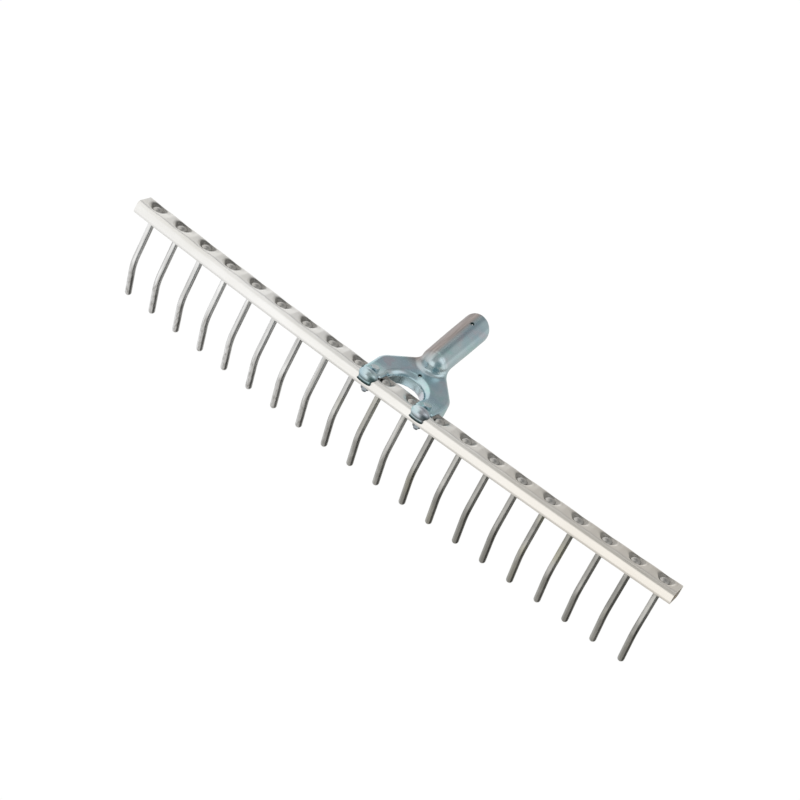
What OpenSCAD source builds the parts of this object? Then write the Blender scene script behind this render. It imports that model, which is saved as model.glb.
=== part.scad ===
// Landscape rake head: a slightly bowed hollow bar, a row of riveted round tines,
// and a pressed handle bracket that two bolts clamp to the middle of the bar.
// Millimetres. +X runs along the bar, +Y points towards the handle, +Z is up, away from the tines' tips.
// The sub-parts are drawn about the middle of the bar; in_frame() then puts the origin at the socket's mouth.

/* [Bar] */
// Distance from one tine to the next, along the bar
tine_pitch = 33; // [30:0.5:38]
// Number of tines on each side of the handle
tines_per_side = 10; // [5:1:12]
// Length of bar beyond the outermost tine on each side
bar_end = 16.5; // [13:0.5:25]
// Width of the bar's section, front to back
bar_w = 25; // [23:0.5:30]
// Height of the bar's section
bar_h = 15; // [14:0.5:20]
// Radius of the section's outer corners
bar_corner = 5; // [4:0.25:6]
// Wall of the hollow section
bar_wall = 2; // [1.5:0.1:2.5]
// How far the bar's ends are set back behind its middle
bar_bow = 11; // [5:0.5:20]

/* [Tines] */
// Diameter of the round tine rod
tine_d = 7; // [6:0.25:8.5]
// How far the row of tines lies behind the middle of the bar's width
tine_back = 2.5; // [0:0.25:3]
// Straight length of a tine from the bar's underside to its bend
tine_straight = 42.4; // [30:0.2:60]
// Radius of the bend, at the middle of the rod
tine_bend_r = 55; // [30:1:80]
// Angle through which a tine is bent back towards the handle
tine_bend = 22; // [10:1:35]
// Straight length from the bend to the end of the tip
tine_toe = 35; // [20:1:50]

/* [Riveted joints] */
// Width of the dish pressed into the bar's top round each tine
dish_d = 20.5; // [19:0.5:23]
// Depth of the dish
dish_depth = 3; // [2:0.25:3.5]
// Width of a tine's riveted head
rivet_d = 11.5; // [10:0.25:13]
// Height of a tine's riveted head
rivet_h = 2.4; // [1.5:0.1:3]
// Room between a riveted head and the dish's slope
rivet_seat = 0.3; // [0.2:0.05:0.5]
// Gap all round a tine in its holes
rivet_gap = 0.1; // [0.05:0.05:0.3]

/* [Handle bracket] */
// Thickness of the bracket's sheet
sheet = 2.5; // [2:0.1:3.2]
// Width of each arm where it crosses the bar
arm_w = 22.5; // [20:0.5:24]
// How much nearer the middle a clamp bolt is than the middle of its gap between two tines
bolt_in = 1; // [0:0.25:3]
// Flat stretch of an arm behind the bar's back face
heel = 1.5; // [1:0.25:4]
// Angle at which the web rises from the bar to the socket
web_tilt = 12; // [5:1:18]
// Depth of the flange turned down along the bracket's edges, sheet included
flange = 14; // [10:0.5:16]
// Distance from the bar's back face to the crown of the cut-out between the arms
crown_back = 18.5; // [15:0.5:26]
// Distance from the cut-out's crown to the root of the socket
bridge = 29; // [26:0.5:36]
// Distance from the root of the socket to the end of the web's flanges
neck_back = 1.5; // [1:0.25:3]
// Radius of the web's rounded shoulders
shoulder_r = 18; // [14:0.5:20]
// Distance from the start of the web to the middle of its shoulders
shoulder_lead = 9.5; // [6:0.25:12]
// Diameter of the small hole in the web
web_hole_d = 3.25; // [3:0.25:5]
// Distance from the cut-out's crown to the small hole's middle
web_hole_back = 5.5; // [5:0.25:7]
// How far a tongue reaches straight down the bar's front, below its bend
tongue_drop = 3.7; // [1:0.1:5]
// How much larger the radius of a tongue's round end is than half the arm
tongue_ease = 8; // [0.5:0.5:10]
// Gap between a tongue and the bar's front
tongue_gap = 1.2; // [0.4:0.1:2]

/* [Handle socket] */
// Angle of the socket above the level
socket_angle = 19; // [14:1:30]
// Length of the socket from its root to the middle of its mouth
socket_len = 68; // [58:1:100]
// Length of the straight round stretch at the mouth
socket_straight = 32; // [25:1:45]
// Inside diameter of the straight stretch
socket_bore = 26; // [24:0.5:29]
// Wall of the socket
socket_wall = 2; // [1.5:0.1:2.5]
// Outside diameter at the root
socket_root_d = 29; // [26:0.5:29.5]
// Height of the socket's axis above the web, at the root
socket_rise = 5; // [4:0.25:7]
// Angle by which the mouth is cut back towards the socket's underside
mouth_slant = 20; // [0:1:30]
// Width of the open seam along the socket's underside
seam_w = 1.6; // [0.8:0.1:2.5]
// Diameter of the handle's screw hole
screw_hole_d = 3.5; // [3:0.25:6]
// Distance from the middle of the mouth to the screw hole's middle
screw_hole_in = 12; // [9:0.5:20]

/* [Fasteners] */
// Thread diameter of the clamp bolts
bolt_d = 5; // [4:0.5:6]
// Width across the flats of bolt heads and nuts
hex_af = 8; // [7.5:0.5:10]
// Angle of a hexagon's corner, measured round from the front
hex_turn = 18; // [0:1:59]
// Height of a bolt's head
head_h = 3.5; // [2.5:0.25:5]
// Height of a nut
nut_h = 4.5; // [3.5:0.25:6]
// Length of thread that stands out of a nut
thread_end = 2.5; // [0.5:0.25:5]
// Diameter of the washers under the bar
washer_d = 15; // [12:0.5:20]
// Thickness of the washers
washer_t = 1.2; // [1:0.1:2]
// Gap all round a bolt in the bar, the bracket and the washer
bolt_gap = 0.3; // [0.2:0.05:0.6]
// Gap all round a bolt in its nut
thread_gap = 0.1; // [0.05:0.05:0.2]

/* [Hidden] */
$fn = 64;
// Extra length that carries a cut clear of a face
over = 1;
// Pieces of the drawn arc along a full turn of the bowed bar
bow_fn = 3000;

// Tines: the toe is a hair thinner than the bend and is let into the bend's end, so that they are one rod
toe_step = 0.02;
toe_let_in = 0.5;
toe_d = tine_d - toe_step;

// Bar
tine_count = 2 * tines_per_side;
bar_len = (tine_count - 1) * tine_pitch + 2 * bar_end;
bow_r = bar_len * bar_len / (8 * bar_bow);
bow_angle = bar_len / bow_r * 180 / PI;
bar_top = bar_h / 2;
dish_floor_d = rivet_d + 2 * rivet_seat;
dish_slope = (dish_d - dish_floor_d) / 2 / dish_depth;
dish_z = bar_top - dish_depth;

// Bracket, seen from above
bolt_x = tine_pitch - bolt_in;
arm_out = bolt_x + arm_w / 2;
cut_r = bolt_x - arm_w / 2;
pad_back = bar_w / 2 + heel;
crown_y = bar_w / 2 + crown_back;
root_y = crown_y + bridge;
neck_half = socket_root_d / 2 + sheet / 2;
shoulder = [arm_out - shoulder_r, pad_back + shoulder_lead];
neck = [neck_half, root_y + neck_back];
slant_out = neck - shoulder;
slant_angle = atan2(slant_out[1], slant_out[0]) - acos(shoulder_r / norm(slant_out));
slant_normal = [cos(slant_angle), sin(slant_angle)];

// Bracket, seen from the side
pad_top = bar_top + sheet;
tongue_y = bar_corner - bar_w / 2 - tongue_gap;
tongue_z = bar_top - bar_corner;
tongue_out = bar_corner + sheet;
tongue_tip = (tongue_out + tongue_drop) * cos(45);
tongue_r = arm_w / 2 + tongue_ease;
web_len = (neck[1] - pad_back) / cos(web_tilt);
root_z = pad_top + (root_y - pad_back) * tan(web_tilt) + socket_rise;
socket_d = socket_bore + 2 * socket_wall;
socket_taper = socket_len - socket_straight;
mouth_reach = socket_d / 2 * tan(mouth_slant) + over;
mouth_y = root_y + socket_len * cos(socket_angle);
mouth_z = root_z + socket_len * sin(socket_angle);

// Fasteners
hex_d = hex_af / cos(30);
bolt_hole_d = bolt_d + 2 * bolt_gap;
nut_z = -bar_top - washer_t - nut_h;
bolt_end = nut_z - thread_end;

function tine_name(i) = str("tine_", i < 10 ? "0" : "", i);
function tine_at(i) = (i - (tine_count + 1) / 2) * tine_pitch;

// Moves the middle of the bar so that the origin lies at the middle of the socket's mouth
module in_frame() {
    translate([0, -mouth_y, -mouth_z]) children();
}

// Puts something that is drawn at the middle of the bar at a distance along the bowed bar
module along_bar(distance) {
    translate([0, bow_r, 0])
        rotate([0, 0, distance / bow_r * 180 / PI])
            translate([0, -bow_r, 0]) children();
}

// Stands a side outline, drawn as (Y, Z), upright and gives it a width along X
module from_side(width) {
    rotate([90, 0, 90]) linear_extrude(height = width, center = true) children();
}

// Bar

module section(w, h, corner) {
    square([w - 2 * corner, h], center = true);
    square([w, h - 2 * corner], center = true);
    for (x = [-1, 1])
        for (y = [-1, 1])
            translate([x * (w / 2 - corner), y * (h / 2 - corner)]) circle(corner, $fn = 48);
}

module bowed(angle) {
    translate([0, bow_r, 0])
        rotate([0, 0, -90 - angle / 2])
            rotate_extrude(angle = angle, $fn = bow_fn)
                translate([bow_r, 0]) children();
}

module dish(z) {
    translate([0, tine_back, z])
        cylinder(
            h = dish_depth + over,
            d1 = dish_floor_d,
            d2 = dish_d + 2 * dish_slope * over
        );
}

module rake_bar() {
    past_end = 2 * over / bow_r * 180 / PI;
    color("gainsboro") difference() {
        bowed(bow_angle) section(bar_w, bar_h, bar_corner);
        difference() {
            bowed(bow_angle + past_end)
                section(bar_w - 2 * bar_wall, bar_h - 2 * bar_wall, bar_corner - bar_wall);
            for (i = [1 : tine_count])
                along_bar(tine_at(i)) dish(dish_z - bar_wall);
        }
        for (i = [1 : tine_count])
            along_bar(tine_at(i)) {
                dish(dish_z);
                translate([0, tine_back, 0])
                    cylinder(h = bar_h + 2 * over, d = tine_d + 2 * rivet_gap, center = true);
            }
        for (side = [-1, 1])
            translate([side * bolt_x, 0, 0])
                cylinder(h = bar_h + 2 * over, d = bolt_hole_d, center = true);
    }
}

// Tines

module rivet_head() {
    cap_r = (rivet_d * rivet_d / 4 + rivet_h * rivet_h) / (2 * rivet_h);
    intersection() {
        translate([0, 0, rivet_h - cap_r]) sphere(cap_r);
        cylinder(h = rivet_h + over, d = rivet_d + over);
    }
}

module tine() {
    bend_z = -bar_top - tine_straight;
    color("darkgray") translate([0, tine_back, 0]) {
        translate([0, 0, dish_z]) rivet_head();
        translate([0, 0, bend_z]) cylinder(h = dish_z - bend_z, d = tine_d);
        translate([0, tine_bend_r, bend_z])
            rotate([-90, 0, -90])
                rotate_extrude(angle = tine_bend)
                    translate([tine_bend_r, 0]) circle(d = tine_d);
        translate([0, tine_bend_r, bend_z])
            rotate([tine_bend, 0, 0])
                translate([0, -tine_bend_r, toe_d / 2 - tine_toe]) {
                    cylinder(h = tine_toe - toe_d / 2 + toe_let_in, d = toe_d);
                    sphere(d = toe_d);
                }
    }
}

// Handle bracket

module web_outline(inset) {
    slant_in = -inset * slant_normal;
    shoulder_edge = shoulder + (shoulder_r - inset) * slant_normal;
    difference() {
        for (side = [0, 1])
            mirror([side, 0]) {
                polygon([
                    [0, -bar_w],
                    [arm_out - inset, -bar_w],
                    [arm_out - inset, shoulder[1]],
                    shoulder_edge,
                    neck + slant_in,
                    [0, neck[1] + slant_in[1]]
                ]);
                translate(shoulder) circle(shoulder_r - inset);
            }
        translate([0, crown_y - cut_r]) circle(cut_r + inset);
        translate([-cut_r - inset, -bar_w - over])
            square([2 * (cut_r + inset), bar_w + over + crown_y - cut_r]);
    }
}

// Carries a side outline to where the web begins to rise from the pad
module on_web() {
    translate([pad_back, bar_top]) rotate(web_tilt) children();
}

// Side outline of the sheet: tongue, flat pad on the bar, and rising web
module sheet_side() {
    translate([tongue_y, tongue_z]) {
        intersection() {
            difference() {
                circle(tongue_out);
                circle(bar_corner);
            }
            translate([-tongue_out, 0]) square(tongue_out);
        }
        translate([-tongue_out, -tongue_drop]) square([sheet, tongue_drop]);
    }
    translate([tongue_y, bar_top]) square([pad_back - tongue_y, sheet]);
    on_web() square([web_len, sheet]);
}

// Keeps the sheet behind the tongues whole and rounds the tongues' ends
module tongue_trim() {
    back = socket_len;
    translate([0, tongue_y, tongue_z])
        rotate([45, 0, 0])
            translate([0, tongue_r - tongue_tip, 0]) {
                translate([-2 * arm_out, 0, -back]) cube([4 * arm_out, 2 * back, 2 * back]);
                for (side = [-1, 1])
                    translate([side * bolt_x, 0, 0]) cylinder(h = back, r = tongue_r, center = true);
            }
}

module web_prism(inset) {
    deep = flange + root_z;
    translate([0, 0, -deep]) linear_extrude(height = 3 * deep) web_outline(inset);
}

// The edges are left as deep as the flange; inside them the blank is hollowed out below the sheet
module pressed_sheet() {
    difference() {
        intersection() {
            from_side(2 * (arm_out + over)) {
                sheet_side();
                on_web() translate([0, sheet - flange]) square([web_len, flange]);
            }
            web_prism(0);
            tongue_trim();
        }
        intersection() {
            from_side(2 * (arm_out + over))
                on_web() translate([-over, -flange]) square([web_len + 2 * over, flange]);
            web_prism(sheet);
        }
    }
}

// Carries something drawn along +Z onto the socket's axis, starting at the root
module on_socket() {
    translate([0, root_y, root_z]) rotate([socket_angle - 90, 0, 0]) children();
}

module socket_outside() {
    sphere(d = socket_root_d);
    cylinder(h = socket_taper, d1 = socket_root_d, d2 = socket_d);
    translate([0, 0, socket_taper]) cylinder(h = socket_straight + mouth_reach, d = socket_d);
}

module socket_inside() {
    root_bore = socket_root_d - 2 * socket_wall;
    sphere(d = root_bore);
    cylinder(h = socket_taper, d1 = root_bore, d2 = socket_bore);
    translate([0, 0, socket_taper]) cylinder(h = socket_straight + 2 * mouth_reach, d = socket_bore);
    translate([-seam_w / 2, 0, socket_root_d / 2])
        cube([seam_w, socket_d, socket_len]);
    translate([0, 0, socket_len])
        rotate([-mouth_slant, 0, 0])
            translate([-socket_d, -socket_d, 0]) cube(2 * socket_d);
    translate([0, 0, socket_len - screw_hole_in])
        rotate([90, 0, 0]) cylinder(h = socket_d, d = screw_hole_d);
}

module handle_bracket() {
    color("lightslategray") difference() {
        union() {
            pressed_sheet();
            on_socket() socket_outside();
        }
        on_socket() socket_inside();
        translate([0, crown_y + web_hole_back, 0]) cylinder(h = root_z, d = web_hole_d);
        for (side = [-1, 1])
            translate([side * bolt_x, 0, bar_top - over])
                cylinder(h = sheet + 2 * over, d = bolt_hole_d);
    }
}

// Fasteners

module hexagon(h) {
    rotate([0, 0, hex_turn - 90]) cylinder(h = h, d = hex_d, $fn = 6);
}

module clamp_bolt(side) {
    color("lightsteelblue") translate([side * bolt_x, 0, 0]) {
        translate([0, 0, pad_top]) hexagon(head_h);
        translate([0, 0, bolt_end]) cylinder(h = pad_top - bolt_end, d = bolt_d);
    }
}

module clamp_nut(side) {
    color("lightsteelblue") translate([side * bolt_x, 0, nut_z]) difference() {
        hexagon(nut_h);
        translate([0, 0, -over]) cylinder(h = nut_h + 2 * over, d = bolt_d + 2 * thread_gap);
    }
}

module clamp_washer(side) {
    color("lightsteelblue") translate([side * bolt_x, 0, nut_z + nut_h]) difference() {
        cylinder(h = washer_t, d = washer_d);
        translate([0, 0, -over]) cylinder(h = washer_t + 2 * over, d = bolt_hole_d);
    }
}

in_frame() rake_bar();
in_frame() handle_bracket();
in_frame() clamp_bolt(-1);  // clamp_bolt_left
in_frame() clamp_bolt(1);  // clamp_bolt_right
in_frame() clamp_nut(-1);  // clamp_nut_left
in_frame() clamp_nut(1);  // clamp_nut_right
in_frame() clamp_washer(-1);  // clamp_washer_left
in_frame() clamp_washer(1);  // clamp_washer_right
for (i = [1 : tine_count])
    in_frame() along_bar(tine_at(i)) tine();
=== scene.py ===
# %% [markdown]
# # A landscape rake head
# The real object is a wide aluminium bar with a row of riveted rods, the tines, and a zinc-plated steel
# bracket that two bolts clamp to the bar's middle. Its size and its pieces' places come from the packed
# model, so the first cell loads that model and keeps its box. Everything that follows is drawn in the same
# frame, in metres.

# %% Load the frame
import math

import bpy
import numpy as np
from mathutils import Matrix, Vector


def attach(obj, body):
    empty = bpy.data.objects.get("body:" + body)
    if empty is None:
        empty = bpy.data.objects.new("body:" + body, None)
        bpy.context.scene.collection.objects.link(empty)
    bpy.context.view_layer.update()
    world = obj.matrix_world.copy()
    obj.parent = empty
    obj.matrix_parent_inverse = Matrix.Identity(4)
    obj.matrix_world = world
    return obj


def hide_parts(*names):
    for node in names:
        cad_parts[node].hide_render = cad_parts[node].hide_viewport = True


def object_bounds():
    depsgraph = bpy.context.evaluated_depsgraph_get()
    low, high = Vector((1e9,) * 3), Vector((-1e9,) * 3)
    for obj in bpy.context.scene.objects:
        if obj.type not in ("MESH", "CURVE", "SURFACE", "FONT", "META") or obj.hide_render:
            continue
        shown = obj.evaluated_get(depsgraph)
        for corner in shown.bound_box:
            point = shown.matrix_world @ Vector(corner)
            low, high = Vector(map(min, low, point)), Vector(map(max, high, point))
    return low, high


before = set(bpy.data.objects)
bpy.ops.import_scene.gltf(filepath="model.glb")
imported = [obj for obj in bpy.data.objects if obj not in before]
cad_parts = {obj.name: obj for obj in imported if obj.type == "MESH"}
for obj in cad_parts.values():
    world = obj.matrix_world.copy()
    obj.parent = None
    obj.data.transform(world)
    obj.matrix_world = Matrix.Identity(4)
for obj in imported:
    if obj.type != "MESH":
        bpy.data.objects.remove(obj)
cad_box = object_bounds()
print("pieces in the frame:", len(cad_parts), "box:", [round(v, 4) for c in cad_box for v in c])

# %% [markdown]
# ## From millimetres to pieces
# Makers measure such a head from the middle of its bar, in millimetres, and that is easier to think in than
# metres from the socket's mouth. So each shape below is worked out from the bar's middle. One helper carries
# its points into the frame and turns points and faces into a named piece that stands for a CAD node.

# %% A helper for pieces
MOUTH = np.array([0.0, 124.2953, 46.9162])


def piece(name, points, faces, material, nodes, crease=None):
    """A mesh from millimetre points, smooth apart from edges sharper than crease, standing for CAD nodes."""
    mesh = bpy.data.meshes.new(name)
    mesh.from_pydata(((np.asarray(points) - MOUTH) / 1000).tolist(), [], [list(map(int, f)) for f in faces])
    mesh.validate()
    mesh.shade_smooth()
    if crease:
        mesh.set_sharp_from_angle(angle=math.radians(crease))
    mesh.materials.append(material)
    made = bpy.data.objects.new(name, mesh)
    bpy.context.scene.collection.objects.link(made)
    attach(made, "root")
    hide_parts(*nodes)
    print(f"{name}: {len(mesh.vertices)} points, {len(mesh.polygons)} faces")
    return made


# %% [markdown]
# ## Writing nodes as sums
# Both the tines' geometry tree and the finishes need a lot of small node maths. One class wraps a socket, so
# that a formula can be written as it would be on paper; each operator adds one Math node. Every other kind of
# node comes from its one method, which sets the node's options first and then its sockets, by their
# identifiers.

# %% A socket that can be added and multiplied
class Wire:
    def __init__(self, tree, socket):
        self.tree, self.socket = tree, socket

    @classmethod
    def node(cls, tree, kind, settings=None, sockets=None, out=0):
        made = tree.nodes.new(kind)
        for key, value in (settings or {}).items():
            setattr(made, key, value)
        by_id = {s.identifier: s for s in made.inputs}
        for key, value in (sockets or {}).items():
            if isinstance(value, Wire):
                tree.links.new(value.socket, by_id[key])
            else:
                by_id[key].default_value = value
        return cls(tree, made.outputs[out] if len(made.outputs) else None)

    def maths(self, operation, *values):
        names = ("Value", "Value_001")
        return Wire.node(self.tree, "ShaderNodeMath", {"operation": operation}, dict(zip(names, values)))

    def __add__(self, other): return self.maths("ADD", self, other)
    def __radd__(self, other): return self.maths("ADD", other, self)
    def __sub__(self, other): return self.maths("SUBTRACT", self, other)
    def __rsub__(self, other): return self.maths("SUBTRACT", other, self)
    def __mul__(self, other): return self.maths("MULTIPLY", self, other)
    def __rmul__(self, other): return self.maths("MULTIPLY", other, self)
    def __truediv__(self, other): return self.maths("DIVIDE", self, other)

    def most(self, other): return self.maths("MAXIMUM", self, other)
    def least(self, other): return self.maths("MINIMUM", self, other)
    def below(self, other): return self.maths("LESS_THAN", self, other)
    def sine(self): return self.maths("SINE", self)
    def cosine(self): return self.maths("COSINE", self)
    def root(self): return self.maths("SQRT", self)

    def step(self, low, high, a=0.0, b=1.0):
        """Eases from a to b while this value goes from low to high."""
        return Wire.node(self.tree, "ShaderNodeMapRange", {"interpolation_type": "SMOOTHSTEP"},
                         {"Value": self, "From Min": low, "From Max": high, "To Min": a, "To Max": b})

    def mix(self, a, b):
        """Colour a where this value is 0 and b where it is 1."""
        return Wire.node(self.tree, "ShaderNodeMix", {"data_type": "RGBA"},
                         {"Factor_Float": self, "A_Color": a, "B_Color": b}, out=2)


print("node maths ready")

# %% [markdown]
# ## Finishes
# Three metals show. The bar is extruded aluminium, so its streaks run along it; its pressed dishes carry
# painted shade, and towards its right end it is painted darker and warmer as painted shade, with its left part
# kept bright as a painted highlight. The tines are drawn rod, dull grey with stains; the left-hand ones are
# painted pale, near white, as painted light, the right-hand ones darker as painted shade with mottled wear, and
# their lower ends carry painted shade. The bracket and its fasteners are zinc-plated steel, whose thin clear
# layer gives faint blue, pink and green tints; the socket's left side carries a painted reflection, darker and
# browner, and the bore, the holes, the arms' ends and the metal below the bar carry painted shade. All three
# read Object coordinates, so the pattern stays on the metal, and noise stretched along the way the metal was
# worked makes the streaks.

# %% Helpers for finishes
EVEN = (1.0, 1.0, 1.0)
NOISE_ROUGHNESS = 0.55


def new_finish(name):
    """A material with an empty tree, and the piece's own coordinates in it."""
    made = bpy.data.materials.new(name)
    made.use_nodes = True
    tree = made.node_tree
    tree.nodes.clear()
    return made, tree, Wire.node(tree, "ShaderNodeTexCoord", out=3)


def noise(at, stretch, scale=1.0, detail=3.0):
    """Noise on the piece's own coordinates, stretched by different factors along X, Y and Z."""
    spot = Wire.node(at.tree, "ShaderNodeMapping", None, {"Vector": at, "Scale": stretch})
    return Wire.node(at.tree, "ShaderNodeTexNoise", None,
                     {"Vector": spot, "Scale": scale, "Detail": detail, "Roughness": NOISE_ROUGHNESS})


def axis(at, which):
    """One coordinate of a point in metres: 0, 1 or 2 for X, Y or Z."""
    return Wire.node(at.tree, "ShaderNodeSeparateXYZ", None, {"Vector": at}, out=which)


def stored(tree, name):
    """A number that was kept on the points of a piece."""
    return Wire.node(tree, "ShaderNodeAttribute", {"attribute_name": name}, out=2)


def metal_surface(tree, colour, rough, height, depth):
    """Joins a colour, a roughness and a height map of some depth, in metres, into a metal."""
    bump = Wire.node(tree, "ShaderNodeBump", None, {"Height": height, "Distance": depth, "Strength": 1.0})
    shader = Wire.node(tree, "ShaderNodeBsdfPrincipled", None,
                       {"Base Color": colour, "Roughness": rough, "Metallic": 1.0, "Normal": bump})
    Wire.node(tree, "ShaderNodeOutputMaterial", None, {"Surface": shader})
    print("finish with", len(tree.nodes), "nodes")


# %% Extruded aluminium for the bar
ALU_BRIGHT, ALU_DULL, ALU_SHADED_WARM = (0.97, 0.965, 0.95, 1), (0.90, 0.89, 0.86, 1), (0.88, 0.82, 0.73, 1)
DISH_SHADE_DARK, DISH_SHADE_PALE = (0.12, 0.115, 0.11, 1), (0.28, 0.27, 0.25, 1)
BAR_GRAIN = 0.00004
bar_metal, tree, at = new_finish("extruded_aluminium")
lines = noise(at, (4.0, 500.0, 500.0), detail=4.0)
cloud = noise(at, (14.0, 40.0, 40.0))
specks = noise(at, EVEN, 900.0, 2.0)
dish, side = stored(tree, "dish"), axis(at, 0)
bright = cloud.step(0.35, 0.7).mix(ALU_BRIGHT, ALU_DULL)
# Painted light and shade: the bar's left part is kept bright as a painted highlight, and towards the right end
# it turns darker and warmer as painted shade.
lit_left_shaded_right = side.step(-0.1, 0.3, 0.0, 0.6).mix(bright, ALU_SHADED_WARM)
# Painted shade: the pressed dishes are painted dark and speckled, a little weaker towards the right end.
dish_shade = specks.step(0.3, 0.7).mix(DISH_SHADE_DARK, DISH_SHADE_PALE)
painted_shade = dish.step(0.05, 0.32) * (0.8 + 0.2 * cloud) * side.step(-0.05, 0.2, 1.0, 0.85)
rough = 0.2 + 0.12 * lines + 0.1 * cloud + 0.08 * dish
metal_surface(tree, painted_shade.mix(lit_left_shaded_right, dish_shade), rough, lines + 0.4 * specks, BAR_GRAIN)

# %% Drawn rod for the tines
ROD_PALE, ROD_WHITE = (0.80, 0.80, 0.80, 1), (0.97, 0.97, 0.97, 1)
SHADED_WORN_DARK, SHADED_WORN_PALE, WORN_OLIVE = (0.32, 0.315, 0.295, 1), (0.60, 0.59, 0.56, 1), (0.52, 0.50, 0.38, 1)
SCRATCHED, TOE_SHADE_GREY, RIVETED = (0.36, 0.35, 0.33, 1), (0.30, 0.295, 0.27, 1), (0.50, 0.49, 0.47, 1)
ROD_GRAIN = 0.00005
tine_metal, tree, at = new_finish("drawn_rod")
lines = noise(at, (420.0, 420.0, 14.0), detail=4.0)
cloud = noise(at, (30.0, 60.0, 28.0))
specks = noise(at, (1.0, 1.0, 0.6), 1300.0, 2.0)
tint = noise(at, (17.0, 23.0, 19.0), detail=2.0)
height = axis(at, 2)
# Painted light and shade: the left-hand tines are painted pale, near white, as painted light, and the
# right-hand tines darker as painted shade, mottled with wear and olive stains.
shaded_worn_right = axis(at, 0).step(-0.2, 0.12)
pale = cloud.step(0.3, 0.7).mix(ROD_PALE, ROD_WHITE)
grey = shaded_worn_right.mix(pale, cloud.step(0.35, 0.65).mix(SHADED_WORN_DARK, SHADED_WORN_PALE))
warm = (tint.step(0.5, 0.72) * shaded_worn_right).mix(grey, WORN_OLIVE)
worn = lines.step(0.42, 0.7, 0.0, 0.75).mix(warm, SCRATCHED)
# Painted shade: the lower ends of the tines are painted darker, more strongly on the right-hand tines.
toe_shade = (height + 0.012 * cloud).step(-0.085, -0.115) * (0.15 + 0.5 * shaded_worn_right)
headed = height.step(-0.046, -0.0425).mix(toe_shade.mix(worn, TOE_SHADE_GREY), RIVETED)
metal_surface(tree, headed, 0.2 + 0.15 * cloud + 0.08 * specks, lines + 0.5 * specks, ROD_GRAIN)

# %% Zinc plate for the bracket and the fasteners
FILM_PINK, FILM_GREEN = (0.66, 0.58, 0.64, 1), (0.42, 0.70, 0.68, 1)
LEFT_REFLECT_DARK, LEFT_REFLECT_PALE = (0.28, 0.245, 0.235, 1), (0.42, 0.375, 0.36, 1)
UNDER_BAR_SHADE, ZINC_SHADE = (0.25, 0.28, 0.31, 1), (0.035, 0.065, 0.065, 1)
ZINC_GRAIN = 0.00004


def zinc(name, base, deep, reflects_left):
    """Plate between two blues with a tinted film; reflects_left is 1 where the socket's left side is painted
    darker and browner as painted reflection; painted shade lies below the bar and where the painted_shade
    attribute is kept.
    """
    made, tree, at = new_finish(name)
    cloud = noise(at, (30.0, 30.0, 30.0), detail=2.0)
    film = noise(at, (52.0, 47.0, 61.0))
    grain = noise(at, EVEN, 700.0)
    drawn = noise(at, (500.0, 30.0, 60.0))
    painted_shade = stored(tree, "painted_shade")
    blue = cloud.step(0.35, 0.65).mix(base, deep)
    pink = film.step(0.5, 0.68, 0.0, 0.5).mix(blue, FILM_PINK)
    green = film.step(0.47, 0.32, 0.0, 0.5).mix(pink, FILM_GREEN)
    # Painted reflection: the left side of the socket is painted darker and browner.
    left_reflection = axis(at, 0).step(0.003, -0.004) * axis(at, 1).step(-0.085, -0.068) * reflects_left
    filmed = left_reflection.mix(green, drawn.step(0.3, 0.7).mix(LEFT_REFLECT_DARK, LEFT_REFLECT_PALE))
    # Painted shade: the metal below the bar's underside, the washers, nuts and bolt ends, is painted darker
    # grey.
    shaded = axis(at, 2).step(-0.0535, -0.0555, 0.0, 0.8).mix(filmed, UNDER_BAR_SHADE)
    rough = 0.16 + 0.12 * cloud + 0.06 * grain + 0.12 * left_reflection + 0.3 * painted_shade
    # Painted shade and painted reflection from the bracket's stored layer are mixed in towards a dark teal.
    metal_surface(tree, painted_shade.mix(shaded, ZINC_SHADE), rough, grain + 0.5 * drawn, ZINC_GRAIN)
    return made


bracket_zinc = zinc("zinc_plate", (0.60, 0.73, 0.77, 1), (0.47, 0.63, 0.70, 1), 1.0)
fastener_zinc = zinc("fastener_zinc_plate", (0.68, 0.74, 0.76, 1), (0.52, 0.60, 0.64, 1), 0.0)

# %% [markdown]
# ## The bar
# The bar is one hollow rounded section, bowed a little, with a round dish pressed in round each tine. A boolean
# would leave hard rims; a press leaves soft ones. So the section is swept as a fine grid of points, and each
# point is let down to a smooth minimum of the section's own height and the dish's height. How far it went is
# kept as an attribute, which the finish uses to paint shade in the dishes, stronger towards the bar's back.

# %% The bar's section and bow
PITCH, TINES, BAR_LEN, BOW = 33.0, 20, 660.0, 11.0
BOW_R = BAR_LEN ** 2 / (8 * BOW)
BAR_W, BAR_H, BAR_CORNER, BAR_WALL = 25.0, 15.0, 5.0, 2.0
FLAT_POINTS, SIDE_POINTS, CORNER_POINTS = 20, 5, 10


def along_bar(points, distance):
    """Points drawn at the bar's middle, moved along its bow."""
    a = np.asarray(distance) / BOW_R
    x, y, z = points[..., 0], points[..., 1] - BOW_R, points[..., 2]
    return np.stack([x * np.cos(a) - y * np.sin(a), x * np.sin(a) + y * np.cos(a) + BOW_R, z], -1)


def section_ring(inset):
    """Points (y, z) round the section, some way inside its outer face."""
    w, h, r = BAR_W / 2 - inset, BAR_H / 2 - inset, BAR_CORNER - inset
    corner = np.linspace(0, math.pi / 2, CORNER_POINTS, endpoint=False)
    ring = []
    for turn in range(4):
        c, s = math.cos(turn * math.pi / 2), math.sin(turn * math.pi / 2)
        level = turn % 2 == 0
        half, off = (w - r, h) if level else (h - r, w)
        run = np.linspace(-half, half, FLAT_POINTS if level else SIDE_POINTS, endpoint=False)
        edge = [(t, -off) for t in run]
        edge += [(half + r * math.sin(a), -off + r - r * math.cos(a)) for a in corner]
        ring += [(c * p - s * q, s * p + c * q) for p, q in edge]
    return np.array(ring)


outer_ring, inner_ring = section_ring(0.0), section_ring(BAR_WALL)
print("section:", len(outer_ring), "points, bow radius", round(BOW_R), "mm")

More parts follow.
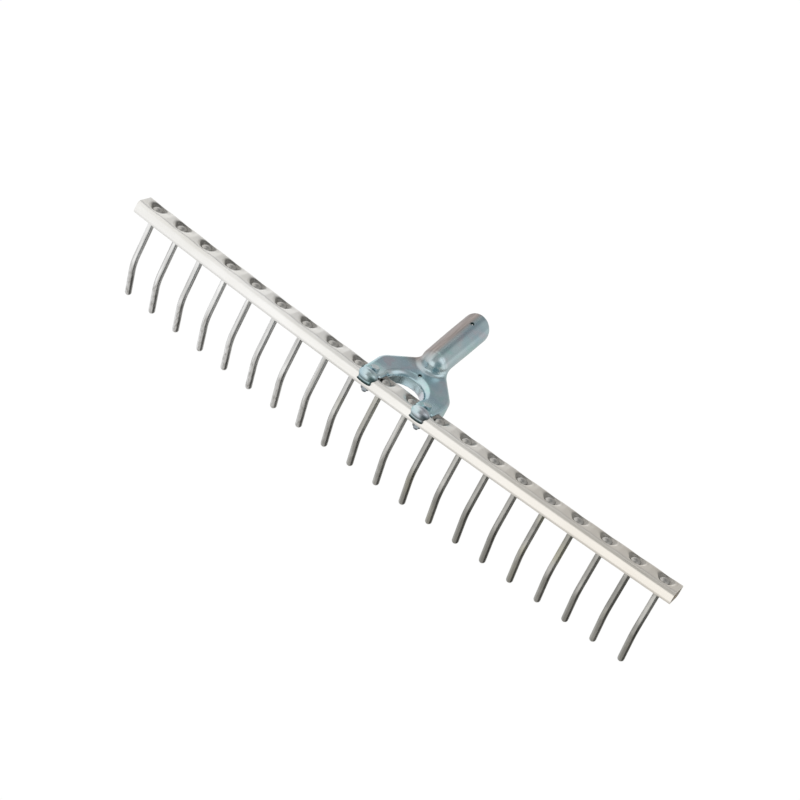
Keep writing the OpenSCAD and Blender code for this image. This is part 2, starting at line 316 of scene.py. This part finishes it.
# %% The pressed dishes
DISH_DEPTH, DISH_FLOOR_R, DISH_R, TINE_BACK = 3.0, 6.05, 12.2, 2.5
DISH_Z = BAR_H / 2 - DISH_DEPTH
DISH_RIM, RIM_SLOPE = 1.4, 0.12


def fade(value, start, run):
    """0 up to start, then evenly up to 1 over the length of run."""
    return np.clip((value - start) / run, 0, 1)


def smooth_least(a, b, k):
    """The lesser of a and b, eased over a width of k where they meet."""
    h = np.clip(0.5 + 0.5 * (b - a) / k, 0, 1)
    return b + (a - b) * h - k * h * (1 - h)


def dish_height(along, y):
    """Height of the pressed dishes over the plan of the bar, without its own surface."""
    nearest = np.clip(np.round(along / PITCH - 0.5), -TINES / 2, TINES / 2 - 1)
    away = np.hypot(along - (nearest + 0.5) * PITCH, y - TINE_BACK)
    part = fade(away, DISH_FLOOR_R, DISH_R - DISH_FLOOR_R)
    return DISH_Z + DISH_DEPTH * part * (2 - part) + RIM_SLOPE * np.maximum(away - DISH_R, 0)


def swept_wall(ring, stations, drop, inward):
    """A grid swept along the bow and pressed down by the dishes; faces turned inward or outward."""
    s, y = np.meshgrid(stations, ring[:, 0], indexing="ij")
    z = np.broadcast_to(ring[:, 1], s.shape)
    pressed = np.where(z > 0, smooth_least(z, dish_height(s, y) - drop, DISH_RIM), z)
    points = along_bar(np.stack([np.zeros_like(s), y, pressed], -1), s).reshape(-1, 3)
    n, m = len(stations), len(ring)
    i, j = np.meshgrid(np.arange(n - 1), np.arange(m), indexing="ij")
    a, b = i * m + j, i * m + (j + 1) % m
    quads = np.stack([a, a + m, b + m, b], -1).reshape(-1, 4)
    return points, quads[:, ::-1] if inward else quads, (z - pressed).reshape(-1)


print("dishes:", TINES, "of", 2 * DISH_R, "mm")

# %% Outside, inside and cut ends of the bar
OUTER_CUTS, INNER_CUTS = 877, 330
half = BAR_LEN / 2
outer, outer_faces, pressed = swept_wall(outer_ring, np.linspace(-half, half, OUTER_CUTS), 0.0, False)
inner, inner_faces, _ = swept_wall(inner_ring, np.linspace(-half, half, INNER_CUTS), BAR_WALL, True)
m, base = len(outer_ring), len(outer)
ends = []
for first, second, flip in ((0, base, False), (base - m, base + len(inner) - m, True)):
    for j in range(m):
        quad = [first + j, first + (j + 1) % m, second + (j + 1) % m, second + j]
        ends.append(quad[::-1] if flip else quad)
bar = piece("pressed_bar", np.vstack([outer, inner]), [*outer_faces, *(inner_faces + base), *ends], bar_metal,
            ["rake_bar"], crease=50)

# %% How deep each point was pressed
# The painted shade in the dishes is made strongest towards the back of the section.
SHADE_FRONT, SHADE_RUN, SHADE_LEAST = TINE_BACK - 6.0, 8.0, 0.2
behind = np.tile(np.clip((outer_ring[:, 0] - SHADE_FRONT) / SHADE_RUN, SHADE_LEAST, 1), OUTER_CUTS)
held = np.clip(pressed / DISH_DEPTH, 0, 1) * behind
depth = bar.data.attributes.new("dish", "FLOAT", "POINT")
depth.data.foreach_set("value", np.concatenate([held, np.zeros(len(inner))]))
print("points with grime:", int((held > 0.05).sum()))

# %% [markdown]
# ## The tines
# Each tine is one rod: headed on top like a rivet, straight, bent once, and rounded at the tip. That is a shape
# with a rule, repeated along the bar, so a Geometry Nodes tree makes it. A line of points gets its place and
# its radius from formulas along the rod, the points are crowded towards both ends where the shape turns
# fastest, and a circle is swept along them. The tree is run once for each tine, with that tine's place as an
# input.

# %% Inputs of the tree
TINE_SIZES = {"Rod": 3.49, "Head": 5.75, "Head height": 2.4, "Straight": 54.4, "Bend radius": 55.0,
              "Bend": math.radians(22), "Toe": 34.99, "Place": 0.0}
rod = bpy.data.node_groups.new("riveted_tine", "GeometryNodeTree")
ids = {}
for key, value in TINE_SIZES.items():
    made = rod.interface.new_socket(key, in_out="INPUT", socket_type="NodeSocketFloat")
    made.default_value, ids[key] = value, made.identifier
ids["Metal"] = rod.interface.new_socket("Metal", in_out="INPUT", socket_type="NodeSocketMaterial").identifier
rod.interface.new_socket("Geometry", in_out="OUTPUT", socket_type="NodeSocketGeometry")
given = rod.nodes.new("NodeGroupInput")
size = {key: Wire(rod, next(s for s in given.outputs if s.identifier == i)) for key, i in ids.items()}
print("inputs of a tine:", ", ".join(size))

# %% Place and radius along the rod
ROD_POINTS, TIP_R, UNCUT = 150, 0.02, 10.0
index = Wire.node(rod, "GeometryNodeInputIndex")
head, head_h, rod_r = size["Head"], size["Head height"], size["Rod"]
straight, bend_r, bend = size["Straight"] + head_h, size["Bend radius"], size["Bend"]
arc = bend_r * bend
length = straight + arc + size["Toe"]
along = length * (0.5 - 0.5 * (index * (math.pi / (ROD_POINTS - 1))).cosine())
turned = ((along - straight) / bend_r).most(0.0).least(bend)
past = (along - straight - arc).most(0.0)
y = TINE_BACK + bend_r * (1.0 - turned.cosine()) + past * bend.sine()
z = head_h + DISH_Z - along.least(straight) - bend_r * turned.sine() - past * bend.cosine()
cap = (head * head + head_h * head_h) / (2.0 * head_h)
dome = (along * (2.0 * cap - along)).most(0.0).root()
radius = rod_r + along.below(head_h + 0.001) * (dome - rod_r)
last = (along - (length - rod_r)).most(0.0)
tip = (rod_r * rod_r - last * last).most(0.0).root()
radius = radius.least(tip + along.below(straight) * UNCUT).most(TIP_R)
print("nodes so far:", len(rod.nodes))

# %% Sweep, place and colour it
ROUND, METRES = 24, (0.001, 0.001, 0.001)
spots = Wire.node(rod, "GeometryNodeMeshLine", None, {"Count": ROD_POINTS, "Offset": (0.0, 0.0, -0.001)})
place = Wire.node(rod, "ShaderNodeCombineXYZ", None, {"Y": y, "Z": z})
spots = Wire.node(rod, "GeometryNodeSetPosition", None, {"Geometry": spots, "Position": place})
path = Wire.node(rod, "GeometryNodeMeshToCurve", None, {"Mesh": spots})
circle = Wire.node(rod, "GeometryNodeCurvePrimitiveCircle", None, {"Resolution": ROUND, "Radius": 1.0})
body = Wire.node(rod, "GeometryNodeCurveToMesh", None,
                 {"Curve": path, "Profile Curve": circle, "Scale": radius, "Fill Caps": True})
turn = Wire.node(rod, "ShaderNodeCombineXYZ", None, {"Z": size["Place"] / BOW_R})
for settings in ({"Translation": (0.0, -BOW_R, 0.0)}, {"Rotation": turn},
                 {"Translation": (0.0, BOW_R - MOUTH[1], -MOUTH[2])}, {"Scale": METRES}):
    body = Wire.node(rod, "GeometryNodeTransform", None, {"Geometry": body, **settings})
body = Wire.node(rod, "GeometryNodeSetShadeSmooth", None, {"Geometry": body})
body = Wire.node(rod, "GeometryNodeRealizeInstances", None, {"Geometry": body})
body = Wire.node(rod, "GeometryNodeSetMaterial", None, {"Geometry": body, "Material": size["Metal"]})
rod.links.new(body.socket, rod.nodes.new("NodeGroupOutput").inputs[0])
print("tree of a tine:", len(rod.nodes), "nodes")

# %% One run of the tree for each tine
for number in range(1, TINES + 1):
    holder = bpy.data.objects.new("rod_holder", bpy.data.meshes.new("rod_holder"))
    bpy.context.scene.collection.objects.link(holder)
    maker = holder.modifiers.new("rod", "NODES")
    maker.node_group = rod
    for key, value in TINE_SIZES.items():
        maker[ids[key]] = value
    maker[ids["Place"]] = (number - (TINES + 1) / 2) * PITCH
    maker[ids["Metal"]] = tine_metal
    grown = holder.evaluated_get(bpy.context.evaluated_depsgraph_get())
    mesh = bpy.data.meshes.new_from_object(grown)
    mesh.name = f"rod_{number:02d}"
    bpy.data.objects.remove(holder)
    tine = bpy.data.objects.new(mesh.name, mesh)
    bpy.context.scene.collection.objects.link(tine)
    mesh.set_sharp_from_angle(angle=math.radians(50))
    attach(tine, "root")
    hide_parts(f"tine_{number:02d}")
print("tines:", TINES, "faces each:", len(mesh.polygons))

# %% [markdown]
# ## The handle bracket
# The bracket is one pressing: two arms that end in bulged tongues over the bar's front, each with a thin lip
# below, flanges turned down along the edges, and a socket that grows out of the web in soft curves. Sheet like
# this has no flat block in it, so it is drawn as a distance field: a formula that is negative inside the metal.
# Rounded meets and smooth unions of simple forms give the press's radii, and taking the same form, made
# thinner, out of itself leaves a wall. Surface nets then turn the field into a mesh.

# %% Outline, fold and socket axis
BOLT_X, PAD_TOP = 32.0, 10.0
CUT_R, CUT_END = 20.75, 31.0
SHOULDER, SHOULDER_R, SLANT = np.array([25.25, 23.5]), 18.0, math.radians(41.4)
FOLD_Y, FOLD_SOFT, FOLD_SET, TILT = 14.0, 40.0, 2.3, math.radians(12)
ROOT, AIM = np.array([60.0, 24.778]), math.radians(19)


def bar_distance(y, z):
    """Distance outside the bar's section."""
    q, p = np.abs(y) - BAR_W / 2 + BAR_CORNER, np.abs(z) - BAR_H / 2 + BAR_CORNER
    return np.hypot(np.maximum(q, 0), np.maximum(p, 0)) + np.minimum(np.maximum(q, p), 0) - BAR_CORNER


def plan_distance(x, y):
    """Distance outside the bracket's outline seen from above; x is taken from the middle, on either side."""
    q, p = x - SHOULDER[0], y - SHOULDER[1]
    slanted = q * math.cos(SLANT) + p * math.sin(SLANT)
    between = (p > 0) & (-q * math.sin(SLANT) + p * math.cos(SLANT) < 0)
    outside = np.where(between, np.hypot(q, p), np.maximum(q, slanted)) - SHOULDER_R
    cut = np.where(y > CUT_END - CUT_R, np.hypot(x, y - CUT_END + CUT_R), x) - CUT_R
    return np.maximum(outside, -cut)


def web_rise(y, z):
    """Height over the sheet's top, which is level on the bar and folds upwards behind it."""
    fold = 0.5 * (y - FOLD_Y + np.sqrt((y - FOLD_Y) ** 2 + FOLD_SOFT) - FOLD_SET)
    return (z - PAD_TOP - np.maximum(fold, 0) * math.tan(TILT)) * math.cos(TILT)


def socket_place(y, z):
    """The way along the socket's axis from its root, and the height over that axis."""
    c, s = math.cos(AIM), math.sin(AIM)
    back, high = y - ROOT[0], z - ROOT[1]
    return back * c + high * s, high * c - back * s


print("bracket: bolts", 2 * BOLT_X, "mm apart, socket raised", round(math.degrees(AIM)), "degrees")

# %% Web, arms and bulged ends
EDGE_R, CROWN_EDGE, CROWN_R, CROWN_FADE, CROWN_FROM, CROWN_RUN = 3.6, 1.9, 32.0, 6.0, 6.0, 8.0
TONGUE_T, TONGUE_HALF, ARM_SPREAD, WIDEN_FROM, WIDEN_RUN = 1.5, 7.5, 3.5, -8.0, 5.0
FRONT, FRONT_EDGE_R = -9.0, 1.2
KNUCKLE_AT, KNUCKLE_R, KNUCKLE_BLEND = (BOLT_X, -8.8, 6.2), (10.6, 7.3, 6.4), 1.0
LIP_Z, LIP_HALF, LIP_HIGH, LIP_OUT, LIP_EDGE_R, LIP_BACK = 0.1, 8.0, 1.5, 2.4, 0.8, -5.0
HEAD_ROOM_R, FAR = 5.2, 9.0


def rounded_meet(a, b, r):
    """Inside both a and b, with their common edge rounded to r."""
    return np.hypot(np.maximum(a + r, 0), np.maximum(b + r, 0)) + np.minimum(np.maximum(a, b) + r, 0) - r


def arms_field(x, y, z):
    """The web with its arms as one full form, before it is hollowed."""
    off_bar, plan = bar_distance(y, z), plan_distance(x, y)
    wide = fade(y, WIDEN_FROM, WIDEN_RUN)
    top = np.where(y < 0.0, off_bar - TONGUE_T - wide, web_rise(y, z))
    tongue = np.maximum(np.abs(x - BOLT_X) - TONGUE_HALF - ARM_SPREAD * wide, -z)
    outline = np.where(y < 0.0, np.maximum(plan, tongue), plan)
    crown = fade(-np.hypot(x, y - CUT_END + CUT_R), -CROWN_R, CROWN_FADE) * fade(y, CROWN_FROM, CROWN_RUN)
    form = rounded_meet(outline, top, np.where(y < FRONT, FRONT_EDGE_R, EDGE_R + CROWN_EDGE * crown))
    knuckle = np.sqrt(sum(((v - c) / r) ** 2 for v, c, r in zip((x, y, z), KNUCKLE_AT, KNUCKLE_R)))
    form = smooth_least(form, (knuckle - 1) * KNUCKLE_R[2], KNUCKLE_BLEND)
    lip = (np.hypot((x - BOLT_X) / LIP_HALF, (z - LIP_Z) / LIP_HIGH) - 1) * LIP_HIGH
    lip = rounded_meet(lip, off_bar - LIP_OUT, LIP_EDGE_R)
    form = np.where(y < LIP_BACK, np.minimum(form, lip), form)
    head_room = np.where(z > PAD_TOP, HEAD_ROOM_R - np.hypot(x - BOLT_X, y), -FAR)
    return np.maximum(form, head_room)


print("arms end in bulges", 2 * KNUCKLE_R[0], "mm wide")

# %% Socket, wall and holes
SHEET, WALL_EDGE, HOLLOW_FROM, FLANGE_DROP, CUT_EDGE, BAR_GAP = 2.4, 0.5, 10.0, 14.0, 0.8, 0.05
SOCKET_LEN, ROOT_R, FLARE, FLARE_RUN, ROOT_BLEND = 68.0, 14.5, 0.5, 36, 7.0
MOUTH_SLANT = math.radians(20)
SEAM_HALF, SEAM_TOP, HOLE_EDGE = 0.8, -6.0, 0.3
SCREW_AT, SCREW_R, SCREW_TOP, BURR, BURR_RUN = SOCKET_LEN - 12.0, 1.75, 15.0, 0.75, 2.0
WEB_HOLE_Y, WEB_HOLE_R = 36.5, 1.6


def smooth_most(a, b, k):
    return -smooth_least(-a, -b, k)


def bracket_field(p):
    """Negative inside the bracket's metal; both sides are alike, so x goes without its sign."""
    x, y, z = np.abs(p[..., 0]), p[..., 1], p[..., 2]
    t, lift = socket_place(y, z)
    r = np.hypot(x, lift)
    barrel = np.where(t > 0, r - ROOT_R - FLARE * np.clip(t / FLARE_RUN, 0, 1), np.hypot(r, t) - ROOT_R)
    form = smooth_least(arms_field(x, y, z), barrel, ROOT_BLEND)
    wall = np.where(y < HOLLOW_FROM, form, smooth_most(form, -(form + SHEET), WALL_EDGE))
    wall = smooth_most(wall, -FLANGE_DROP - web_rise(y, z), CUT_EDGE)
    past_mouth = (t - SOCKET_LEN) * math.cos(MOUTH_SLANT) - lift * math.sin(MOUTH_SLANT)
    wall = smooth_most(wall, past_mouth, CUT_EDGE)
    wall = np.maximum(wall, BAR_GAP - bar_distance(y, z))
    seam = np.maximum(np.maximum(x - SEAM_HALF, lift - SEAM_TOP), ROOT_R - t)
    punched = SCREW_R - BURR * fade(-lift, -SCREW_TOP, BURR_RUN)
    screw_hole = np.maximum(np.hypot(x, t - SCREW_AT) - punched, -lift)
    web_hole = np.hypot(x, y - WEB_HOLE_Y) - WEB_HOLE_R
    for gap in (seam, screw_hole, web_hole):
        wall = smooth_most(wall, -gap, HOLE_EDGE)
    return wall


print("sheet", SHEET, "mm, socket", SOCKET_LEN, "mm long")

# %% Surface nets
PROBE, ROUNDS, FLATTEST = 0.02, 6, 0.05


def net_faces(inside, number):
    """A quad round each grid edge that the surface crosses, between the points of its four cells."""
    faces = []
    for axis_out in range(3):
        u, v = (axis_out + 1) % 3, (axis_out + 2) % 3
        near = [slice(1, -1)] * 3
        near[axis_out] = slice(0, -1)
        far = list(near)
        far[axis_out] = slice(1, None)
        start, stop = inside[tuple(near)], inside[tuple(far)]
        spots = np.argwhere(start != stop)
        if not len(spots):
            continue
        outward = start[tuple(spots.T)]
        spots[:, u] += 1
        spots[:, v] += 1
        cells = []
        for du, dv in ((-1, -1), (0, -1), (0, 0), (-1, 0)):
            cell = spots.copy()
            cell[:, u] += du
            cell[:, v] += dv
            cells.append(number[tuple(cell.T)])
        quads = np.stack(cells, -1)
        quads[~outward] = quads[~outward][:, ::-1]
        faces.append(quads)
    return np.concatenate(faces)


def surface_net(field, low, high, step):
    """Closed quads over the zero of a field: one point in each cell that the surface crosses, drawn onto it."""
    axes = [np.arange(a, b + step, step) for a, b in zip(low, high)]
    inside = field(np.stack(np.meshgrid(*axes, indexing="ij"), -1)) < 0
    shape = np.array(inside.shape) - 1
    corner = [inside[i:i + shape[0], j:j + shape[1], k:k + shape[2]]
              for i in (0, 1) for j in (0, 1) for k in (0, 1)]
    count = sum(c.astype(int) for c in corner)
    crossed = (count > 0) & (count < 8)
    number = np.full(crossed.shape, -1)
    number[crossed] = np.arange(crossed.sum())
    points = (np.argwhere(crossed) + 0.5) * step + np.array(low)
    for _ in range(ROUNDS):
        ways = np.eye(3) * PROBE
        slope = np.stack([field(points + e) - field(points - e) for e in ways], -1) / (2 * PROBE)
        steep = np.maximum((slope ** 2).sum(-1, keepdims=True), FLATTEST)
        points = points - np.clip(field(points)[:, None] * slope / steep, -step, step)
    return points, net_faces(inside, number)


# %% The bracket's mesh
NET_LOW, NET_HIGH, NET_STEP = (-47.0, -18.0, -4.0), (47.0, 131.0, 69.0), 0.8
points, faces = surface_net(bracket_field, NET_LOW, NET_HIGH, NET_STEP)
bracket = piece("pressed_bracket", points, faces, bracket_zinc, ["handle_bracket"])

# %% Where shade is painted on the bracket
BORE_R, BORE_FROM, HOLE_SHADE = 14.2, -4, 0.9
DOME_DARK_FROM, DOME_DARK_RUN, DOME_DARK_TOP, DOME_DARK_FALL = 1.0, 4.0, 10.5, 3.0
LOW_TOP, LOW_FALL, LOW_BASE, LOW_RUN, LOW_LEAST, LOW_SHARE = 7.0, 4.5, 1.4, 2.0, 0.3, 0.78
LIP_TOP, LIP_FALL = 1.7, 0.8
x, y, z = points.T
t, lift = socket_place(y, z)
# Painted shade: the inside of the socket's bore and the rims of the holes are painted dark.
bore = np.clip(BORE_R - np.hypot(x, lift), 0, 1) * (t > BORE_FROM)
screw_hole = np.where(lift > 0, np.hypot(x, t - SCREW_AT) - SCREW_R, FAR)
holes = np.minimum(np.hypot(x, y - WEB_HOLE_Y) - WEB_HOLE_R, screw_hole)
# Painted reflection: a dark patch right of the bolt on each bulged end, below its top.
dome_dark_reflection = fade(x - np.sign(x) * BOLT_X, DOME_DARK_FROM, DOME_DARK_RUN) * fade(-z, -DOME_DARK_TOP, DOME_DARK_FALL)
# Painted shade: the lower part of each bulged end, and the lip below it, are painted dark as shade and shadow.
low = np.maximum(fade(-z, -LOW_TOP, LOW_FALL), dome_dark_reflection) * np.clip((z - LOW_BASE) / LOW_RUN, LOW_LEAST, 1)
arm_end = np.maximum(fade(-z, -LIP_TOP, LIP_FALL), LOW_SHARE * low) * (y < FRONT)
shade_layer = bracket.data.attributes.new("painted_shade", "FLOAT", "POINT")
shade_layer.data.foreach_set("value", np.maximum.reduce([bore, np.clip(1 - holes / HOLE_SHADE, 0, 1), arm_end]))
print("bracket points with grime on the arms' ends:", int((arm_end > 0.05).sum()))

# %% [markdown]
# ## Bolts, nuts and washers
# On each side a bolt goes down through the bracket's pad, the bar and a washer, and a nut closes it. Real
# hexagons are turned down on their corners, which gives the curved bright edges that show them as nuts. Each
# shape is a stack of rings whose radius follows the hexagon and whose height gives way to a 30 degree cone, and
# the end of the bolt carries a real thread, with its groove winding round.

# %% Rings into a shape
STEPS, HEX_HALF, HEX_TURN = 96, 4.0, math.radians(18 - 90)
sweep = np.arange(STEPS) * 2 * np.pi / STEPS
hexagon = HEX_HALF / np.cos((sweep + np.pi / 6) % (np.pi / 3) - np.pi / 6)


def ring_stack(rings, side, closed):
    """A shape from rings of a radius and a height that may change round it; closed joins last to first."""
    points = []
    for r, h in rings:
        r, h = np.broadcast_to(r, sweep.shape), np.broadcast_to(h, sweep.shape)
        x, y = side * BOLT_X + r * np.cos(sweep + HEX_TURN), r * np.sin(sweep + HEX_TURN)
        points.append(np.stack([x, y, h], -1))
    n = len(rings)
    faces = []
    for i in range(n if closed else n - 1):
        a, b = i * STEPS, (i + 1) % n * STEPS
        faces += [[a + j, a + (j + 1) % STEPS, b + (j + 1) % STEPS, b + j] for j in range(STEPS)]
    if not closed:
        faces += [list(range(STEPS))[::-1], list(range((n - 1) * STEPS, n * STEPS))]
    return np.concatenate(points), faces


print("hexagon:", 2 * HEX_HALF, "mm across its flats")

# %% A bolt, a nut and a washer on each side
BAR_BASE, NUT_TOP, NUT_BASE, BOLT_END = -7.5, -8.7, -13.2, -15.7
SHANK, END_R, HEAD_TOP, FACE_R, NUT_BORE = 2.5, 2.1, PAD_TOP + 3.5, 3.8, 2.6
THREAD_PITCH, THREAD_DEPTH, THREAD_TOP = 0.8, 0.25, -12.9
WASHER_R, WASHER_BORE, WASHER_EDGE = 7.5, 2.8, 0.3
lean = np.maximum(hexagon - FACE_R, 0) * math.tan(math.radians(30))
thread = []
for h in np.arange(0.2, 2.6, 0.1):
    groove = np.abs(2 * ((h / THREAD_PITCH + sweep / (2 * np.pi)) % 1.0) - 1)
    thread.append((SHANK - THREAD_DEPTH * groove, BOLT_END + h))
nut = [(NUT_BORE, NUT_BASE), (FACE_R, NUT_BASE), (hexagon, NUT_BASE + lean), (hexagon, NUT_TOP - lean),
       (FACE_R, NUT_TOP), (NUT_BORE, NUT_TOP)]
bolt = [(END_R, BOLT_END), *thread, (SHANK, THREAD_TOP), (SHANK, PAD_TOP), (hexagon, PAD_TOP),
        (hexagon, HEAD_TOP - lean), (FACE_R, HEAD_TOP)]
washer = [(WASHER_BORE, NUT_TOP), (WASHER_R - WASHER_EDGE, NUT_TOP), (WASHER_R, NUT_TOP + WASHER_EDGE),
          (WASHER_R, BAR_BASE - WASHER_EDGE), (WASHER_R - WASHER_EDGE, BAR_BASE), (WASHER_BORE, BAR_BASE)]
fasteners = (("hex_nut", "clamp_nut", nut, True), ("hex_bolt", "clamp_bolt", bolt, False),
             ("flat_washer", "clamp_washer", washer, True))
for side, word in ((-1, "left"), (1, "right")):
    for name, node, rings, closed in fasteners:
        points, faces = ring_stack(rings, side, closed)
        piece(f"{name}_{word}", points, faces, fastener_zinc, [f"{node}_{word}"], crease=25)

# %% [markdown]
# ## Camera
# The photograph was taken from the front right, well above the bar, with a long lens and a picture turned by
# 36 degrees. Its place and lens were fitted to the tines' heads and tips, so that the same sizes land on the
# same pixels.

# %% Place the camera
LENS, SENSOR = 136.1293, 36.0
CAMERA_AT = (0.7890225, -2.5715499, 1.2902561)
CAMERA_RIGHT = (0.77665841, 0.47493642, 0.41380806)
CAMERA_UP = (-0.56883648, 0.24658319, 0.78461569)
CAMERA_BACK = (0.27060446, -0.8447675, 0.46167207)
camera = bpy.data.objects.new("camera", bpy.data.cameras.new("camera"))
bpy.context.scene.collection.objects.link(camera)
camera.data.sensor_width, camera.data.lens = SENSOR, LENS
turned_to = Matrix((CAMERA_RIGHT, CAMERA_UP, CAMERA_BACK)).transposed().to_4x4()
camera.matrix_world = Matrix.Translation(CAMERA_AT) @ turned_to
camera.data.clip_start, camera.data.clip_end = 0.1, 50.0
bpy.context.scene.camera = camera
print("camera at", [round(v, 3) for v in camera.location])

# %% [markdown]
# ## Floor and light
# The head stands on its tips on a plain white floor. Metal shows what surrounds it, so the world is a plain
# white studio with soft darker panels on some sides, as a photographer would stand grey boards round bright
# metal.

# %% Floor
FLOOR_HALF, FLOOR_WHITE, FLOOR_GLOW, GLOW_SHARE = 12, (0.9, 0.9, 0.9, 1), 1.05, 0.93
WHITE = (1, 1, 1, 1)
corners = [(x * FLOOR_HALF, y * FLOOR_HALF, cad_box[0].z) for x, y in ((-1, -1), (1, -1), (1, 1), (-1, 1))]
floor_mesh = bpy.data.meshes.new("floor")
floor_mesh.from_pydata(corners, [], [(0, 1, 2, 3)])
floor = bpy.data.objects.new("floor", floor_mesh)
bpy.context.scene.collection.objects.link(floor)
white, tree, _ = new_finish("floor_white")
plain = Wire.node(tree, "ShaderNodeBsdfDiffuse", None, {"Color": FLOOR_WHITE})
glow = Wire.node(tree, "ShaderNodeEmission", None, {"Color": WHITE, "Strength": FLOOR_GLOW})
rays = tree.nodes.new("ShaderNodeLightPath").outputs
seen = Wire(tree, rays["Is Camera Ray"])
for kind in ("Is Glossy Ray", "Is Transmission Ray"):
    seen = seen.most(Wire(tree, rays[kind]))
both = Wire.node(tree, "ShaderNodeMixShader", None,
                 {"Fac": seen * GLOW_SHARE, "Shader": plain, "Shader_001": glow})
Wire.node(tree, "ShaderNodeOutputMaterial", None, {"Surface": both})
floor_mesh.materials.append(white)
floor.visible_glossy = False
print("floor at", round(cad_box[0].z, 4))

# %% Helpers for the studio
world = bpy.data.worlds.new("studio")
bpy.context.scene.world = world
world.use_nodes = True
tree = world.node_tree
tree.nodes.clear()
way = Wire.node(tree, "ShaderNodeTexCoord", out=0)


def towards(aim):
    """How far a direction points towards aim, from -1 to 1."""
    return Wire.node(tree, "ShaderNodeVectorMath", {"operation": "DOT_PRODUCT"},
                     {"Vector": way, "Vector_001": tuple(Vector(aim).normalized())}, out=1)


def panel(colour, aim, inner, outer, tone):
    """Lays a soft round panel of a tone over the studio, towards aim; inner and outer are angles from it."""
    near = towards(aim).step(math.cos(math.radians(outer)), math.cos(math.radians(inner)))
    return near.mix(colour, (*tone, 1))


right, rear, above = towards((1, 0, 0)), towards((0, 1, 0)), towards((0, 0, 1))
print("studio ready")

# %% Walls and boards overhead
FRONT_WALL, REAR_WALL = (0.40, 0.40, 0.39, 1), (0.50, 0.49, 0.47, 1)
RIGHT_WALL, LEFT_WALL = (0.50, 0.50, 0.49, 1), (1.0, 0.99, 0.97, 1)
BOARDS = (
    ((-0.27, 0.58, 0.77), 8, 20, (0.36, 0.36, 0.37)),
    ((0.03, 0.38, 0.92), 5, 17, (0.27, 0.28, 0.29)),
    ((0.75, -0.15, 0.64), 18, 32, (1.0, 1.0, 1.0)),
    ((-0.27, 0.14, 0.95), 6, 13, (0.85, 0.85, 0.84)),
)
walls = rear.step(-0.3, 0.5).mix(FRONT_WALL, REAR_WALL)
walls = right.step(0.05, 0.4).mix(walls, RIGHT_WALL)
studio = right.step(-0.22, -0.38).mix(walls, LEFT_WALL)
for board in BOARDS:
    studio = panel(studio, *board)
print("boards overhead:", len(BOARDS))

# %% Ground and the whole studio
HIGH_SIDES, LOW_SIDES = (0.88, 0.87, 0.85, 1), (0.46, 0.45, 0.43, 1)
FRONT_GROUND, REAR_GROUND = (1.06, 1.05, 1.03, 1), (0.6, 0.59, 0.57, 1)
UNDER_GROUND, LEFT_GROUND, RIGHT_DARK = (0.68, 0.67, 0.65, 1), (0.95, 0.95, 0.95, 1), (0.06, 0.06, 0.055, 1)
FRONT_BOARD = ((0.70, -0.68, 0.1), 20, 36, (0.24, 0.30, 0.31))
ground = above.step(-0.25, -0.42).mix(HIGH_SIDES, LOW_SIDES)
ground = rear.step(-0.42, -0.74).mix(ground, FRONT_GROUND)
ground = rear.step(0.5, 0.75).mix(ground, REAR_GROUND)
ground = above.step(-0.65, -0.9).mix(ground, UNDER_GROUND)
ground = right.step(-0.2, -0.55).mix(ground, LEFT_GROUND)
dark_side = towards((1, 0.02, 0)).step(0.46, 0.55) * above.step(-0.34, -0.43)
ground = dark_side.mix(ground, RIGHT_DARK)
studio = panel(above.step(0.34, 0.16).mix(studio, ground), *FRONT_BOARD)
seen = Wire(tree, tree.nodes.new("ShaderNodeLightPath").outputs["Is Camera Ray"])
light = Wire.node(tree, "ShaderNodeBackground", None, {"Color": seen.mix(studio, WHITE), "Strength": 1.0})
Wire.node(tree, "ShaderNodeOutputWorld", None, {"Surface": light})
bpy.context.scene.view_settings.view_transform = "Standard"
print("studio:", len(tree.nodes), "nodes")
